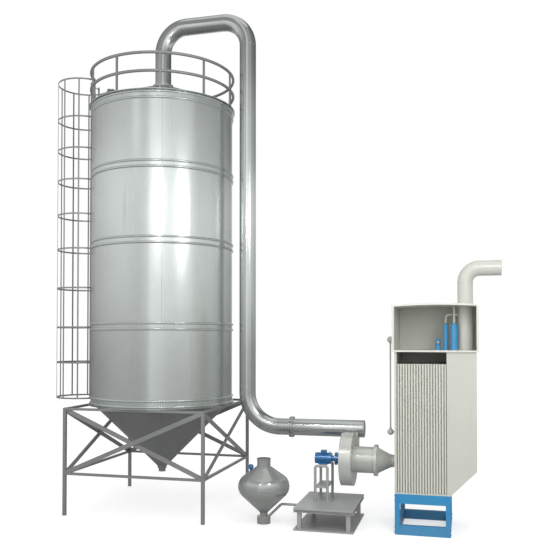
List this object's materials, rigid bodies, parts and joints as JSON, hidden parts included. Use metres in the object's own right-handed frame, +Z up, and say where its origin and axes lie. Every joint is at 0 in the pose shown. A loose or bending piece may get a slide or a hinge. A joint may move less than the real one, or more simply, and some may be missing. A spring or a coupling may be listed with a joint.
{
  "type": "dry scrubber",
  "caption": "Dry scrubber plant: tank tower on a braced frame with hopper and caged ladder, gas duct, fan with motor, lamella filter with hood, and dust vessel.",
  "frame": {"origin": "on the floor, under the middle of the plant's bounding box", "axes": "+X along the fronts from the tower to the filter, +Y to the back, +Z up"},
  "size_m": [13.738, 4.528, 15.19],
  "materials": {
    "frame_steel": "satin grey paint",
    "shell_steel": "rolled stainless plate, soft sheen",
    "hopper_grey": "satin dark grey",
    "duct_steel": "polished lengthwise",
    "fan_grey": "satin light grey",
    "motor_blue": "gloss blue",
    "stand_grey": "gloss grey",
    "stand_blue": "satin light blue",
    "casing_grey": "satin warm grey",
    "lamella_plastic": "matte, finely grained",
    "hood_grey": "satin grey",
    "air_blue": "gloss light blue",
    "vessel_steel": "gloss, spun"
  },
  "bodies": {
    "root": {"frame_legs": "frame_steel", "frame_beams": "frame_steel", "frame_braces": "frame_steel", "handrail_posts": "frame_steel", "handrail_rails": "frame_steel", "ladder": "frame_steel", "ladder_rungs": "frame_steel", "ladder_brackets": "frame_steel", "cage_hoops": "frame_steel", "cage_bars": "frame_steel", "bearing_ring": "shell_steel", "shell_course_1": "shell_steel", "shell_course_2": "shell_steel", "shell_course_3": "shell_steel", "shell_course_4": "shell_steel", "joint_rings": "shell_steel", "roof_rim": "shell_steel", "roof_collar": "shell_steel", "hopper_cone": "hopper_grey", "hopper_outlet": "hopper_grey", "roof_cone": "hopper_grey", "roof_hatch": "hopper_grey", "duct_riser": "duct_steel", "duct_bends": "duct_steel", "duct_top_run": "duct_steel", "duct_downcomer": "duct_steel", "duct_low_run": "duct_steel", "duct_flange": "duct_steel", "duct_end_cap": "duct_steel", "fan_housing": "fan_grey", "fan_inlet_pipe": "fan_grey", "fan_inlet_cone": "fan_grey", "sight_tube": "fan_grey", "conveying_pipe": "fan_grey", "vessel_foot": "fan_grey", "motor": "motor_blue", "vessel_valve": "motor_blue", "motor_stand_posts": "stand_grey", "motor_stand_plates": "stand_grey", "base_top_plate": "stand_grey", "base_channels": "stand_grey", "base_posts": "stand_grey", "base_bottom_plate": "stand_grey", "filter_stand_posts": "stand_blue", "filter_stand_beams": "stand_blue", "filter_floor": "casing_grey", "filter_left_wall": "casing_grey", "filter_back_wall": "casing_grey", "filter_partition": "casing_grey", "filter_chamber": "casing_grey", "outlet_pipes": "casing_grey", "outlet_bend": "casing_grey", "air_pipes": "casing_grey", "filter_lamellae": "lamella_plastic", "hood_floor": "hood_grey", "hood_side_walls": "hood_grey", "hood_back_wall": "hood_grey", "hood_roof": "hood_grey", "air_cylinders": "air_blue", "vessel_shell": "vessel_steel"}
  },
  "joints": []
}
